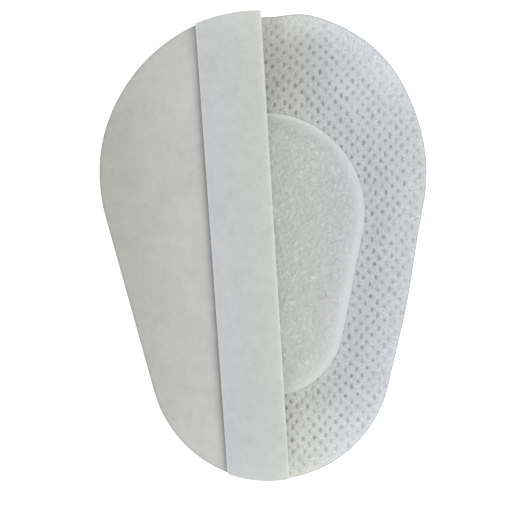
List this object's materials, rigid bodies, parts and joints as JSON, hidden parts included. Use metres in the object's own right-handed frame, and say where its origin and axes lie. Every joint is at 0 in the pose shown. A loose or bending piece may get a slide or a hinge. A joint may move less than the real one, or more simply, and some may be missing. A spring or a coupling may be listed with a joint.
{
  "type": "adhesive eye patch",
  "caption": "Egg-shaped adhesive eye patch, skin side up, with a raised pad on perforated fabric and half of its release liner still on, folded back as a pull tab.",
  "frame": {"origin": "middle of the patch's length and width, on the outer face of its fabric", "axes": "+Z out of the skin side, towards the pad and the liner; +Y towards the wide brow end, along the patch's length; +X towards the half with no liner"},
  "size_m": [0.057, 0.082, 0.0036],
  "materials": {
    "backing_nonwoven": "matte",
    "adhesive": "satin",
    "pad_felt": "matte",
    "pad_web": "matte",
    "liner_paper": "satin"
  },
  "bodies": {
    "patch": {"backing_fabric": "backing_nonwoven", "adhesive_coat": "adhesive", "pad_base_web": "pad_web", "pad_core": "pad_felt", "pad_facing_web": "pad_web"},
    "liner": {"liner_panel": "liner_paper", "liner_crease": "liner_paper"},
    "tab": {"liner_tab": "liner_paper"}
  },
  "joints": [
    {"name": "liner_peel", "type": "hinge", "parent": "patch", "child": "liner", "pos_m": [-0.02849, 0.0119, 0.00045], "axis": [0.0209, -0.9998, 0], "range_deg": [0, 150]},
    {"name": "tab_fold", "type": "hinge", "parent": "liner", "child": "tab", "pos_m": [0.0013, 0, 0.0027], "axis": [-0.0209, 0.9998, 0], "range_deg": [-3, 175], "stiffness_Nm_per_rad": 0.0005, "deforming": ["liner_crease"]}
  ]
}
